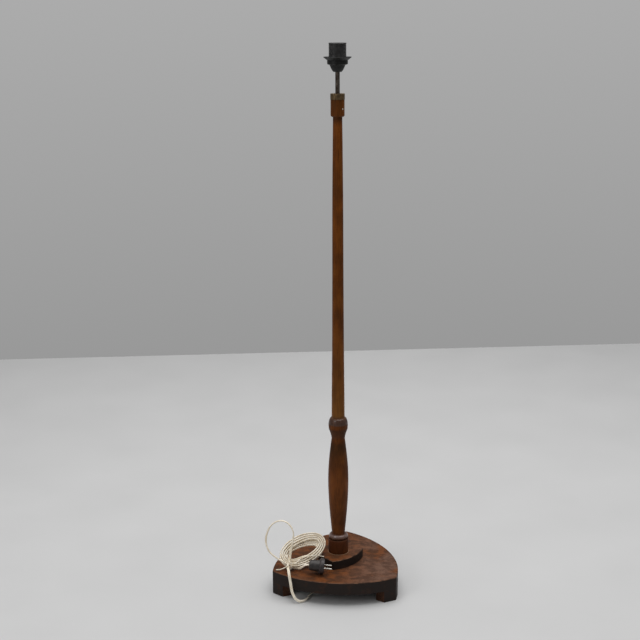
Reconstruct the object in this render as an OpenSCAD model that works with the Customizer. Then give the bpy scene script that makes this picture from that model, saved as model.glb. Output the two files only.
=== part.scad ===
// Candlestick floor lamp: turned wooden column on a curved-sided three-cornered base,
// a screw lampholder on a threaded pipe, and its flat twin cord hanked on the base.
// The column's axis is the working centre line; every piece is drawn about it and then
// shifted so that the middle of the base's box lies on the origin. Floor at z = 0.

/* [Base] */
// Distance from the column axis to the middle of each curved side
base_side = 133; // [120:1:145]
// How much farther from the axis each blunted corner of the base is
base_point = 36.5; // [28:0.5:44]
// Radius of each curved side of the base
base_bow = 250; // [220:1:320]
// Thickness of the base board
base_t = 29; // [20:1:40]
// Worn edge of the boards, measured along each face
edge = 1.2; // [0.6:0.2:2]
// Height of the three feet
foot_h = 28; // [22:1:45]
// Width of each foot
foot_w = 56; // [40:1:70]
// Length of each foot, inwards from the corner of the base
foot_l = 37.5; // [30:0.5:50]

/* [Plinth] */
// Distance from the column axis to each corner of the plinth
plinth_corner = 62.3; // [55:0.5:72]
// Distance from the column axis to the middle of each plinth side
plinth_side = 47; // [40:0.5:52]
// Radius of each curved side of the plinth
plinth_bow = 102; // [90:1:130]
// Thickness of the plinth
plinth_t = 22; // [16:1:30]
// How far the plinth has turned from facing opposite to the base
plinth_turn = -4.7; // [-10:0.1:10]

/* [Baluster] */
// Radius of the plain drum at the foot of the baluster
drum_r = 24; // [22:0.5:28]
// Height of the drum
drum_h = 34; // [24:1:40]
// Radius of the bead above the drum
bead_r = 22.9; // [20:0.1:24]
// Height of the bead
bead_h = 13; // [9:0.5:15]
// Radius at the bottom of the vase
vase_foot_r = 15.2; // [14.5:0.1:18]
// Widest radius of the vase
vase_r = 24.2; // [21:0.1:28]
// Height of the vase
vase_h = 242; // [200:1:280]
// Height of the widest place, as a share of the vase
vase_belly = 0.57; // [0.4:0.01:0.65]
// Radius at the neck under the knob
neck_r = 15.8; // [15:0.1:19]
// Height of the cove under the knob
cove_h = 24; // [18:1:30]
// Height of the upright band of the knob
band_h = 8.5; // [5:0.5:12]
// Radius of the knob
knob_r = 23; // [20:0.1:27]
// Height of the knob's rounded top
dome_h = 19.5; // [14:0.5:24]

/* [Shaft] */
// Length of the shaft between the knob and the capital
shaft_l = 701; // [500:1:850]
// Radius of the shaft at its bottom
shaft_low_r = 15.4; // [14:0.1:18]
// Radius of the shaft at its top
shaft_top_r = 10.5; // [9.5:0.1:13]
// Radius of the shaft's lower tenon
low_tenon_r = 9; // [8:0.1:10]
// Length of the shaft's lower tenon
low_tenon_l = 34; // [25:1:45]
// Radius of the shaft's upper tenon
top_tenon_r = 7.5; // [7:0.1:8.5]
// Length of the shaft's upper tenon
top_tenon_l = 24; // [18:1:26]
// Radius of the baluster's tenon in the base
base_tenon_r = 14; // [12:0.5:18]
// Radius of the cord hole bored up the column
bore_r = 5; // [4.5:0.1:5.5]

/* [Capital] */
// Radius of the turned capital
capital_r = 15.6; // [14:0.1:19]
// Height of the capital
capital_h = 50; // [44:1:70]
// Bevel round the bottom of the capital
capital_bevel = 2.5; // [1:0.1:4]
// Height of the brass cap on the capital
brass_h = 12; // [8:0.5:16]
// Thickness of the brass cap
brass_t = 0.8; // [0.5:0.1:1.2]
// Radius of the locking nail in the capital
nail_r = 1; // [0.8:0.1:1.5]

/* [Lampholder] */
// Outer radius of the threaded pipe
pipe_r = 5; // [4.8:0.1:6.5]
// Radius of the hole through the pipe
pipe_hole_r = 4; // [3.6:0.1:4.2]
// Length of pipe seen between the capital and the lampholder
pipe_show = 48; // [30:1:80]
// Length of pipe screwed into the capital
pipe_in = 24; // [15:1:25]
// Radius of the lampholder's skirt
skirt_r = 23; // [22:0.1:26]
// Height of the lampholder's cap with its skirt
cap_h = 25; // [24:0.5:32]
// Radius over the outer thread of the lampholder's sleeve
sleeve_r = 19.65; // [19:0.05:20.5]
// Height of the sleeve above the cap
sleeve_h = 38; // [32:0.5:50]
// Pitch of the outer thread
thread_pitch = 2.5; // [2:0.25:3]
// Depth of the outer thread
thread_depth = 0.9; // [0.5:0.05:1.2]
// Radius of the shade ring
ring_r = 31.1; // [28:0.1:36]
// Height of the shade ring
ring_h = 7.5; // [6:0.5:10]
// Radius over the crests inside the lamp screw shell
screw_r = 12.25; // [12:0.05:12.5]
// Depth of the grooves in the lamp screw shell
screw_depth = 1.05; // [0.8:0.05:1.2]
// Pitch of the lamp screw shell
screw_pitch = 3.63; // [3:0.01:4]

/* [Plug] */
// Radius of the plug's face
plug_r = 18.7; // [17:0.1:20]
// Thickness of the plug's face with its rim
plug_face_t = 11; // [9:0.5:14]
// Radius of the plug's grip beside the face
grip_r = 14.2; // [12:0.1:15]
// Length of the plug's grip
grip_l = 24; // [20:0.5:32]
// Radius of each plug pin
pin_r = 2; // [1.8:0.05:2.4]
// Length of each plug pin
pin_l = 19; // [17:0.5:20]
// Distance between the plug pins
pin_gap = 19; // [18:0.5:20]

/* [Cord] */
// Width of the flat twin cord
cord_w = 6.4; // [5.6:0.1:6.8]
// Thickness of the flat twin cord
cord_t = 3.2; // [2.8:0.1:3.3]
// Thickness of the string that ties the hank
tie_d = 3; // [2:0.1:3]

/* [Fits] */
// Clearance round a tenon or a screw in wood
fit = 0.1; // [0.05:0.05:0.3]
// Clearance between the shade ring and the sleeve
thread_fit = 0.1; // [0.05:0.01:0.1]
// Gap under the shade ring at its lowest place
ring_gap = 0.3; // [0.2:0.05:0.6]

/* [Hidden] */

wood_dark = [0.17, 0.12, 0.10];
wood_base = [0.36, 0.22, 0.14];
wood_column = [0.34, 0.19, 0.10];
brass = [0.55, 0.46, 0.26];
steel = [0.42, 0.40, 0.38];
bakelite = [0.10, 0.10, 0.10];
cream = [0.86, 0.82, 0.73];
porcelain = [0.85, 0.84, 0.80];
plug_grey = [0.23, 0.22, 0.23];
plug_dark = [0.16, 0.16, 0.17];
plated = [0.75, 0.75, 0.73];

// Heights up the column
base_z = foot_h;
plinth_z = base_z + base_t;
drum_z = plinth_z + plinth_t;
bead_z = drum_z + drum_h;
vase_z = bead_z + bead_h;
cove_z = vase_z + vase_h;
band_z = cove_z + cove_h;
dome_z = band_z + band_h;
shaft_z = dome_z + dome_h;
capital_z = shaft_z + shaft_l;
capital_top = capital_z + capital_h;
holder_z = capital_top + pipe_show;
skirt_top = holder_z + cap_h;
ring_z = skirt_top + ring_gap;
sleeve_top = skirt_top + sleeve_h;

// The base's box is centred on the origin, so the column stands off it
base_corner = base_side + base_point;
column_y = -base_point / 2;
foot_angles = [210, 330, 90];
base_angle = 90;
plinth_angle = 270 + plinth_turn;

base_tenon_l = plinth_t + base_t / 2;
bush_l = 10;
bush_flange = 2;
bush_wall = 1.4;
bush_hole_r = cord_w / 2 + 0.3;
bush_r = bush_hole_r + bush_wall;
screw_shank_r = 2;
screw_head_r = 4.2;
big_fn = 72;
round_fn = 24;
small_fn = 16;
thread_fn = 16;

module placed() {
    translate([0, column_y, 0]) children();
}

// Moves a disc of radius `bow` off the axis, so that its far edge is `side` from the axis
module at_side(side, bow, turn) {
    rotate(turn) translate([bow - side, 0, 0]) children();
}

// Three discs overlap in a three-cornered board with bowed sides; the fourth blunts its corners
module three_corner(side, bow, corner, h) {
    intersection() {
        cylinder(h = h, r = corner, $fn = big_fn);
        at_side(side, bow, 0) cylinder(h = h, r = bow, $fn = big_fn);
        at_side(side, bow, 120) cylinder(h = h, r = bow, $fn = big_fn);
        at_side(side, bow, 240) cylinder(h = h, r = bow, $fn = big_fn);
    }
}

// Disc with a worn top edge; its cone runs on past the top, where the board ends
module worn_disc(r, h) {
    rotate_extrude($fn = big_fn)
        polygon([[0, -1], [r, -1], [r, h - edge], [r - edge - 2, h + 2], [0, h + 2]]);
}

module worn_board(side, bow, corner, h) {
    intersection() {
        cylinder(h = h, r = corner, $fn = big_fn);
        at_side(side, bow, 0) worn_disc(bow, h);
        at_side(side, bow, 120) worn_disc(bow, h);
        at_side(side, bow, 240) worn_disc(bow, h);
        worn_disc(corner, h);
    }
}

module wood_screw(l) {
    cylinder(h = l, r = screw_shank_r, $fn = small_fn);
    cylinder(h = screw_head_r - screw_shank_r, r1 = screw_head_r, r2 = screw_shank_r, $fn = small_fn);
}

module wood_screw_hole(l) {
    cylinder(h = l + fit, r = screw_shank_r + fit, $fn = small_fn);
    translate([0, 0, -1])
        cylinder(h = 1 + fit, r = screw_head_r + fit, $fn = small_fn);
    translate([0, 0, fit])
        cylinder(
            h = screw_head_r - screw_shank_r,
            r1 = screw_head_r + fit,
            r2 = screw_shank_r + fit,
            $fn = small_fn
        );
}

// Two screws hold each foot; each head lies a little way up inside the foot
foot_in = base_corner - foot_l;
foot_screw_out = foot_in + 16;
foot_screw_side = foot_w / 4;
foot_screw_sink = 9;
foot_screw_l = foot_h - foot_screw_sink + base_t * 0.55;
plinth_screw_out = 34;
plinth_screw_sink = 6;
plinth_screw_l = base_t - plinth_screw_sink + plinth_t * 0.6;

module at_foot_screws() {
    for (a = foot_angles)
        for (s = [-1, 1])
            rotate(a) translate([foot_screw_out, s * foot_screw_side, foot_screw_sink]) children();
}

module at_plinth_screws() {
    for (k = [0:2])
        rotate(plinth_angle + 120 * k)
            translate([plinth_screw_out, 0, base_z + plinth_screw_sink]) children();
}

module base_board() {
    color(wood_base) placed() difference() {
        translate([0, 0, base_z]) rotate(base_angle) worn_board(base_side, base_bow, base_corner, base_t);
        translate([0, 0, drum_z - base_tenon_l])
            cylinder(h = base_tenon_l, r = base_tenon_r, $fn = round_fn);
        translate([0, 0, base_z - 1])
            cylinder(h = base_t, r = bush_r, $fn = small_fn);
        at_foot_screws() wood_screw_hole(foot_screw_l);
        at_plinth_screws() wood_screw_hole(plinth_screw_l);
        at_plinth_screws() translate([0, 0, -plinth_screw_sink - 1])
            cylinder(h = plinth_screw_sink + 1, r = screw_head_r + fit, $fn = small_fn);
    }
}

module foot(angle) {
    color(wood_dark) placed() difference() {
        intersection() {
            rotate(base_angle) three_corner(base_side, base_bow, base_corner, foot_h);
            rotate(angle) translate([foot_in, -foot_w / 2, 0]) cube([base_corner, foot_w, foot_h]);
        }
        at_foot_screws() wood_screw_hole(foot_screw_l);
        at_foot_screws() translate([0, 0, -foot_screw_sink - 1])
            cylinder(h = foot_screw_sink + 1, r = screw_head_r + fit, $fn = small_fn);
    }
}

module foot_screws() {
    color(steel) placed() at_foot_screws() wood_screw(foot_screw_l);
}

module plinth() {
    color(wood_base) placed() difference() {
        translate([0, 0, plinth_z])
            rotate(plinth_angle) worn_board(plinth_side, plinth_bow, plinth_corner, plinth_t);
        translate([0, 0, plinth_z - 1])
            cylinder(h = plinth_t + 2, r = base_tenon_r, $fn = round_fn);
        at_plinth_screws() wood_screw_hole(plinth_screw_l);
    }
}

module plinth_screws() {
    color(steel) placed() at_plinth_screws() wood_screw(plinth_screw_l);
}

// The vase swells as a quarter sine from each end to its belly
function vase_radius(f) =
    f < vase_belly
        ? vase_foot_r + (vase_r - vase_foot_r) * sin(90 * f / vase_belly)
        : neck_r + (vase_r - neck_r) * sin(90 * (1 - f) / (1 - vase_belly));
vase_steps = 16;
vase_line = [for (i = [0:vase_steps]) [vase_radius(i / vase_steps), vase_z + vase_h * i / vase_steps]];

cove_steps = 6;
cove_line = [
    for (i = [1:cove_steps])
        let (f = i / cove_steps)
            [neck_r + (knob_r - 0.6 - neck_r) * (1 - cos(90 * f)) ^ 0.8, cove_z + cove_h * f]
];

dome_steps = 6;
dome_line = [
    for (i = [0:dome_steps])
        let (a = 90 * i / dome_steps)
            [shaft_low_r + (knob_r - shaft_low_r) * cos(a), dome_z + dome_h * sin(a) * 0.97]
];

bead_bulge = bead_h / 2;
bead_steps = 8;
bead_line = [
    for (i = [0:bead_steps])
        let (a = -90 + 180 * i / bead_steps)
            [bead_r - bead_bulge + bead_bulge * cos(a), bead_z + bead_bulge * (1 + sin(a))]
];

module baluster() {
    tenon_z = drum_z - base_tenon_l;
    mortise_z = shaft_z - low_tenon_l;
    color(wood_column) placed() difference() {
        rotate_extrude($fn = round_fn)
            polygon(concat(
                [[0, tenon_z], [base_tenon_r, tenon_z], [base_tenon_r, drum_z], [drum_r - 0.8, drum_z]],
                [[drum_r, drum_z + 0.8], [drum_r, bead_z - 0.8], [drum_r - 0.8, bead_z]],
                bead_line,
                vase_line,
                cove_line,
                dome_line,
                [[0, dome_z + dome_h * 0.97]]
            ));
        translate([0, 0, tenon_z - 1])
            cylinder(h = shaft_z - tenon_z + 2, r = bore_r, $fn = small_fn);
        translate([0, 0, mortise_z])
            cylinder(h = low_tenon_l + 1, r = low_tenon_r, $fn = round_fn);
    }
}

// Share of the taper that is left at each share of the shaft's length
shaft_taper = [[0, 1], [0.1, 0.9], [0.23, 0.7], [0.47, 0.5], [0.72, 0.41], [0.88, 0.2], [1, 0]];
shaft_steps = 12;
shaft_foot_z = dome_z + dome_h * 0.97;
function shaft_radius(f) = shaft_top_r + (shaft_low_r - shaft_top_r) * lookup(f, shaft_taper);
shaft_line = [
    for (i = [0:shaft_steps])
        let (f = i / shaft_steps) [shaft_radius(f), shaft_foot_z + (capital_z - shaft_foot_z) * f]
];

module shaft() {
    tenon_z = shaft_z - low_tenon_l;
    top_z = capital_z + top_tenon_l;
    color(wood_column) placed() difference() {
        rotate_extrude($fn = round_fn)
            polygon(concat(
                [[0, tenon_z], [low_tenon_r, tenon_z], [low_tenon_r, shaft_foot_z]],
                shaft_line,
                [[top_tenon_r, capital_z], [top_tenon_r, top_z], [0, top_z]]
            ));
        translate([0, 0, tenon_z - 1])
            cylinder(h = top_z - tenon_z + 2, r = bore_r, $fn = small_fn);
        at_nail() translate([0, 0, -1]) cylinder(h = nail_l + 1, r = nail_r, $fn = small_fn);
    }
}

// A nail through the capital pins the shaft's upper tenon
nail_angle = -35;
nail_up = 17.5;
nail_l = capital_r - bore_r - 1.2;
nail_head_r = nail_r * 1.6;

module at_nail() {
    rotate(nail_angle) translate([capital_r, 0, capital_z + nail_up]) rotate([0, -90, 0]) children();
}

module capital() {
    cap_seat_r = capital_r - 0.2;
    color(wood_column) placed() difference() {
        rotate_extrude($fn = round_fn)
            polygon([
                [0, capital_z],
                [capital_r - capital_bevel, capital_z],
                [capital_r, capital_z + capital_bevel],
                [capital_r, capital_top - brass_h],
                [cap_seat_r, capital_top - brass_h],
                [cap_seat_r, capital_top],
                [0, capital_top]
            ]);
        translate([0, 0, capital_z - 1])
            cylinder(h = capital_h + 2, r = bore_r - 0.5, $fn = small_fn);
        translate([0, 0, capital_z - 1])
            cylinder(h = top_tenon_l + 1, r = top_tenon_r, $fn = round_fn);
        translate([0, 0, capital_top - pipe_in])
            cylinder(h = pipe_in + 1, r = pipe_r, $fn = round_fn);
        at_nail() translate([0, 0, -1]) cylinder(h = nail_l + 1, r = nail_r, $fn = small_fn);
    }
}

module capital_cap() {
    inner_r = capital_r - 0.2;
    outer_r = inner_r + brass_t;
    color(brass) placed() translate([0, 0, capital_top - brass_h])
        rotate_extrude($fn = round_fn)
            polygon([
                [pipe_r + fit, brass_h],
                [pipe_r + fit, brass_h + brass_t],
                [outer_r - brass_t / 2, brass_h + brass_t],
                [outer_r, brass_h + brass_t / 2],
                [outer_r, 0],
                [inner_r, 0],
                [inner_r, brass_h]
            ]);
}

module capital_nail() {
    color(steel) placed() at_nail() {
        cylinder(h = nail_l, r = nail_r, $fn = small_fn);
        rotate([180, 0, 0]) cylinder(h = nail_head_r * 0.5, r1 = nail_head_r, r2 = nail_r, $fn = small_fn);
    }
}

pipe_neck = 10;

module pipe() {
    low = capital_top - pipe_in;
    color(steel) placed() translate([0, 0, low]) difference() {
        cylinder(h = pipe_in + pipe_show + pipe_neck, r = pipe_r, $fn = round_fn);
        translate([0, 0, -1])
            cylinder(h = pipe_in + pipe_show + pipe_neck + 2, r = pipe_hole_r, $fn = small_fn);
    }
}

// Lampholder cap: a blunt cone that opens into a skirt; the sleeve screws down into the skirt
// and clamps the insert's flange against a ledge
cone_low_r = pipe_r * 2;
cone_top_r = sleeve_r - 1.8;
cone_h = cap_h * 0.61;
seat_r = sleeve_r - 0.4;
seat_h = cap_h * 0.28;
ledge_z = skirt_top - seat_h;
flange_t = 1.5;
sleeve_low = ledge_z + flange_t;

module holder_cap() {
    color(bakelite) placed() translate([0, 0, holder_z])
        rotate_extrude($fn = round_fn)
            polygon([
                [pipe_r, 0],
                [cone_low_r - 1, 0],
                [cone_low_r, 1],
                [cone_low_r + 2.4, cone_h * 0.26],
                [cone_low_r + 4.9, cone_h * 0.56],
                [cone_top_r - 1.2, cone_h * 0.86],
                [cone_top_r, cone_h],
                [skirt_r - 1.2, cone_h + 1],
                [skirt_r, cone_h + 2.4],
                [skirt_r, cap_h - 0.6],
                [skirt_r - 0.6, cap_h],
                [seat_r + fit, cap_h],
                [seat_r + fit, cap_h - seat_h],
                [cone_top_r - 2, cap_h - seat_h],
                [cone_low_r + 2.6, pipe_neck + 0.5],
                [pipe_r, pipe_neck + 0.5]
            ]);
}

// The shade thread starts above the ring's lowest place; its crests are flat rings
thread_low = ring_z + ring_h + 0.5;
thread_first = thread_low + 2.6;
thread_rings = floor((sleeve_top - 1.8 - thread_first) / thread_pitch);
thread_crest = thread_pitch * 0.3;
relief_r = sleeve_r - 0.3;
sleeve_hole_r = 15.6;

function thread_notch(z0) = [
    [sleeve_r, z0],
    [sleeve_r - thread_depth, z0 + (thread_pitch - thread_crest) * 0.4],
    [sleeve_r - thread_depth, z0 + (thread_pitch - thread_crest) * 0.6],
    [sleeve_r, z0 + thread_pitch - thread_crest]
];

module holder_sleeve() {
    notches = [for (i = [0:thread_rings - 1]) each thread_notch(thread_first + i * thread_pitch)];
    color(bakelite) placed() rotate_extrude($fn = thread_fn)
        polygon(concat(
            [[sleeve_hole_r, sleeve_low], [seat_r, sleeve_low], [seat_r, skirt_top]],
            [[relief_r, skirt_top], [relief_r, thread_low], [sleeve_r, thread_low]],
            notches,
            [
                [sleeve_r, sleeve_top - 0.8],
                [sleeve_r - 0.8, sleeve_top],
                [sleeve_hole_r + 0.5, sleeve_top],
                [sleeve_hole_r, sleeve_top - 0.5]
            ]
        ));
}

// Insulating block that carries the contacts, clamped between cap and sleeve
insert_r = 14.4;
insert_top = skirt_top + 3;
wire_hole_out = 8.5;
wire_hole_r = 1.6;
terminal_r = 1.5;

module holder_insert() {
    low = ledge_z - 2;
    color(porcelain) placed() difference() {
        union() {
            translate([0, 0, low]) cylinder(h = insert_top - low, r = insert_r, $fn = round_fn);
            translate([0, 0, ledge_z]) cylinder(h = flange_t, r = cone_top_r - 0.4, $fn = round_fn);
        }
        for (s = [-1, 1])
            translate([s * wire_hole_out, 0, low - 1])
                cylinder(h = insert_top - low + 2, r = wire_hole_r, $fn = small_fn);
        for (s = [-1, 1]) at_terminal(s) cylinder(h = 6.5, r = terminal_r, $fn = small_fn);
        at_rivet() translate([0, 0, -rivet_l]) cylinder(h = rivet_l + 1, r = rivet_r, $fn = small_fn);
    }
}

module at_terminal(s) {
    translate([s * wire_hole_out, 4.2, ledge_z - 2]) children();
}

module terminal_screws() {
    color(brass) placed() for (s = [-1, 1]) at_terminal(s) {
        cylinder(h = 6.5, r = terminal_r, $fn = small_fn);
        translate([0, 0, -1.2]) cylinder(h = 1.2, r = terminal_r * 1.7, $fn = small_fn);
    }
}

// Lamp screw shell: crests one pitch apart inside, above a plain cup that clears the contact
shell_t = 0.45;
shell_rings = 7;
shell_crest = 0.7;
shell_low = insert_top;
shell_cup_r = screw_r + screw_depth;
shell_first = shell_low + 5;

function shell_wave(z0) = [
    [screw_r, z0],
    [screw_r, z0 + shell_crest],
    [shell_cup_r, z0 + shell_crest + (screw_pitch - shell_crest) * 0.35],
    [shell_cup_r, z0 + shell_crest + (screw_pitch - shell_crest) * 0.65]
];

module screw_shell() {
    waves = [for (i = [0:shell_rings - 1]) each shell_wave(shell_first + i * screw_pitch)];
    top = shell_first + shell_rings * screw_pitch;
    inside = concat(
        [[shell_cup_r, shell_low + shell_t], [shell_cup_r, shell_first - 1]],
        waves,
        [[screw_r + 0.3, top], [screw_r + 0.9, top + 1.2]]
    );
    outside = [for (i = [len(inside) - 1:-1:1]) inside[i] + [shell_t, 0]];
    color(brass) placed() rotate_extrude($fn = thread_fn)
        polygon(concat(
            [[contact_clear_r, shell_low], [contact_clear_r, shell_low + shell_t]],
            inside,
            outside,
            [[shell_cup_r + shell_t, shell_low]]
        ));
}

// Centre contact: a springy strip on a rivet, bent up to meet the lamp
contact_clear_r = 9.6;
rivet_r = 0.9;
rivet_l = 3.5;
rivet_out = 6.6;
strip_w = 5;
strip_t = 0.5;
strip_rise = 3.2;
pivot_gap = 0.25;

module at_rivet() {
    translate([-rivet_out, 0, insert_top]) children();
}

module centre_contact() {
    run = rivet_out + 2.6;
    color(brass) placed() at_rivet() difference() {
        rotate([90, 0, 0]) translate([0, 0, -strip_w / 2]) linear_extrude(strip_w)
            polygon([
                [-1.9, pivot_gap],
                [2, pivot_gap],
                [run - 2.4, strip_rise],
                [run, strip_rise],
                [run + 1.6, strip_rise - 1.2],
                [run + 1.6, strip_rise - 1.2 + strip_t],
                [run, strip_rise + strip_t],
                [run - 2.6, strip_rise + strip_t],
                [1.8, pivot_gap + strip_t],
                [-1.9, pivot_gap + strip_t]
            ]);
        translate([0, 0, -1]) cylinder(h = 3, r = rivet_r + 0.15, $fn = small_fn);
    }
}

module contact_rivet() {
    color(brass) placed() at_rivet() {
        translate([0, 0, -rivet_l])
            cylinder(h = rivet_l + pivot_gap * 2 + strip_t, r = rivet_r, $fn = small_fn);
        translate([0, 0, pivot_gap * 2 + strip_t]) cylinder(h = 0.6, r = rivet_r * 1.7, $fn = small_fn);
    }
}

// Shade ring: flared flange that screws up and down the sleeve
module shade_ring() {
    color(bakelite) placed() translate([0, 0, ring_z]) rotate_extrude($fn = round_fn)
        polygon([
            [sleeve_r + thread_fit, 0],
            [skirt_r + 0.4, 0],
            [skirt_r + 1.2, ring_h * 0.12],
            [ring_r - 0.6, ring_h * 0.75],
            [ring_r, ring_h * 0.82],
            [ring_r, ring_h - 0.4],
            [ring_r - 0.4, ring_h],
            [sleeve_r + thread_fit, ring_h]
        ]);
}

// Bush in the underside of the base, where the cord leaves
module cord_bush() {
    color(bakelite) placed() difference() {
        union() {
            translate([0, 0, base_z - bush_flange])
                cylinder(h = bush_flange, r = bush_r + 2.5, $fn = small_fn);
            translate([0, 0, base_z]) cylinder(h = bush_l, r = bush_r, $fn = small_fn);
        }
        translate([0, 0, base_z - bush_flange - 1])
            cylinder(h = bush_l + bush_flange + 2, r = bush_hole_r, $fn = small_fn);
    }
}

// Twin cord inside the column: two cores side by side, parted at the top for the terminals
core_off = (cord_w - cord_t) / 2;
core_wire_r = 0.8;

module cord_inside() {
    low = base_z - bush_flange;
    part_z = holder_z + pipe_neck + 1;
    wire_z = ledge_z - 2.6;
    wire_in = 5.6;
    wire_out = wire_hole_out - core_off;
    slope = atan2(wire_out, wire_z - part_z);
    color(cream) placed() {
        for (s = [-1, 1]) {
            translate([s * (core_off - 0.05), 0, low])
                cylinder(h = part_z - low, r = cord_t / 2, $fn = small_fn);
            translate([s * core_off, 0, part_z]) rotate([0, s * slope, 0]) translate([0, 0, -0.6])
                cylinder(h = norm([wire_out, wire_z - part_z]) + 0.6, r = core_wire_r, $fn = small_fn);
            translate([s * wire_hole_out, 0, wire_z - 0.5])
                cylinder(h = wire_in + 0.5, r = core_wire_r, $fn = small_fn);
        }
    }
}

// ---- tubes swept along points, all in one piece ----

function unit(v) = v / norm(v);
function across(v, t) = unit(v - (v * t) * t);
function tangent(pts, i) = unit(pts[min(i + 1, len(pts) - 1)] - pts[max(i - 1, 0)]);

// Flat oval outlines in the plane across the cord: [along the width, along the thickness]
function flat8(w, t) = [
    [w / 2, t * 0.22], [w * 0.3, t / 2], [-w * 0.3, t / 2], [-w / 2, t * 0.22],
    [-w / 2, -t * 0.22], [-w * 0.3, -t / 2], [w * 0.3, -t / 2], [w / 2, -t * 0.22]
];
function flat6(w, t) = [
    [w / 2, 0], [w * 0.28, t / 2], [-w * 0.28, t / 2], [-w / 2, 0], [-w * 0.28, -t / 2], [w * 0.28, -t / 2]
];
function round8(d) = [for (k = [0:7]) [cos(45 * k), sin(45 * k)] * d / 2];

// wides gives the direction of the cord's width at each point
module tube(pts, wides, outline, first_dir, last_dir) {
    n = len(outline);
    last = len(pts) - 1;
    rings = [
        for (i = [0:last])
            let (
                t = i == 0 && first_dir != undef ? unit(first_dir)
                    : i == last && last_dir != undef ? unit(last_dir)
                    : tangent(pts, i),
                w = across(wides[i], t),
                h = cross(t, w)
            )
                each [for (s = outline) pts[i] + s[0] * w + s[1] * h]
    ];
    sides = [
        for (i = [0:last - 1])
            for (k = [0:n - 1])
                let (
                    a = i * n + k,
                    b = i * n + (k + 1) % n
                )
                    each [[a, a + n, b], [b, a + n, b + n]]
    ];
    low_cap = [for (k = [1:n - 2]) [0, k, k + 1]];
    top_cap = [for (k = [1:n - 2]) [last * n, last * n + k + 1, last * n + k]];
    polyhedron(points = rings, faces = concat(sides, low_cap, top_cap));
}

// Lead: down out of the bush, over the floor, out in front of the base, up over its edge,
// round in a standing loop beside the hank and into the hank's first turn
lead_route = [
    [0, 0, 26], [-1, -1, 17], [-4, -6, 9], [-9, -12, 4], [-15, -20, 2.6], [-34, -46, 2.3],
    [-52, -74, 3], [-57, -88, 4], [-62, -115, 4], [-68, -125, 4], [-77, -131, 6],
    [-86, -132, 13], [-92, -130, 24], [-98, -125, 50], [-101, -121, 63], [-104, -112, 71],
    [-109, -92, 74], [-109, -83, 80], [-107, -75, 89], [-106, -70, 101], [-101, -63, 130],
    [-100, -61, 145], [-105, -59, 159], [-116, -57, 170], [-130, -57, 174], [-144, -58, 170],
    [-156, -60, 159], [-163, -62, 144], [-166, -65, 128], [-163, -69, 111], [-154, -74, 98],
    [-140, -78, 89], [-112, -83, 76], [-103, -79, 70]
];
// Direction of the cord's width at some of the lead's points
lead_widths = [
    [0, [0.8, -0.6, 0]], [6, [0.8, -0.5, 0]], [8, [0.4, 0, 0.9]], [10, [0.5, 0.2, 0.8]],
    [12, [0.9, 0.1, 0.2]], [16, [1, 0, 0]], [19, [0.9, -0.3, 0]], [21, [0.1, -1, 0]],
    [25, [0.1, -1, 0.2]], [28, [0.6, -0.7, 0.3]], [31, [0.2, -0.8, 0.6]], [34, [0.18, -0.68, 0.71]]
];
function width_at(table, i) = [for (c = [0:2]) lookup(i, [for (row = table) [row[0], row[1][c]]])];

// Hank: two piled layers of oval turns, wound inwards in front and out again behind,
// drawn together where the string ties them, and leaning back on the plinth
hank_centre = [-83, -39, 94.5];
hank_level = 15;
hank_lean = 45;
hank_spin = 24;
hank_long = 61;
hank_wide = 36.5;
hank_step = 5.3;
hank_flat = 0.85;
hank_squeeze = 0.16;
hank_tie_angle = 222;
hank_tie_span = 28;
hank_layer = cord_w + 0.6;
hank_start = 235;
hank_half_turns = 4.035;
hank_turns = 7.98;
hank_climb = 0.2;
hank_swing = -6;
hank_shrink = 0.1;
hank_rings = 24;

level_dir = [cos(hank_level), sin(hank_level), 0];
lean_dir = [-sin(hank_level) * cos(hank_lean), cos(hank_level) * cos(hank_lean), sin(hank_lean)];
hank_x = level_dir * cos(hank_spin) + lean_dir * sin(hank_spin);
hank_y = -level_dir * sin(hank_spin) + lean_dir * cos(hank_spin);
hank_n = cross(level_dir, lean_dir);

function ease(x) = let (c = max(0, min(1, x))) c * c * (3 - 2 * c);
function turned(a) = let (m = (a + 180) % 360) m - 180;

// Place in the hank's own frame, at t turns from its start
function hank_local(t) =
    let (
        a = hank_start + 360 * t,
        inward = hank_half_turns - abs(hank_half_turns - t),
        off = turned(a - hank_tie_angle + 3600) / hank_tie_span,
        climbed = ease((t - hank_half_turns) / hank_climb + 0.5),
        behind = ease((t - hank_half_turns) / hank_climb),
        step = hank_step * (1 - hank_squeeze * exp(-off * off) * (1 - behind)),
        tied = [hank_long * cos(hank_tie_angle), hank_wide * sin(hank_tie_angle)],
        x = (hank_long - inward * step * hank_flat) * cos(a) - tied[0],
        y = (hank_wide - inward * step) * sin(a) - tied[1],
        size = 1 - hank_shrink * behind,
        swing = hank_swing * behind
    )
        [
            tied[0] + size * (x * cos(swing) - y * sin(swing)),
            tied[1] + size * (x * sin(swing) + y * cos(swing)),
            hank_layer * (0.5 - climbed)
        ];
function hank_place(p) = hank_centre + p[0] * hank_x + p[1] * hank_y + p[2] * hank_n;

hank_count = round(hank_turns * hank_rings);
hank_path = [for (i = [0:hank_count]) hank_local(hank_turns * i / hank_count)];
hank_points = [for (p = hank_path) hank_place(p)];

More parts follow.
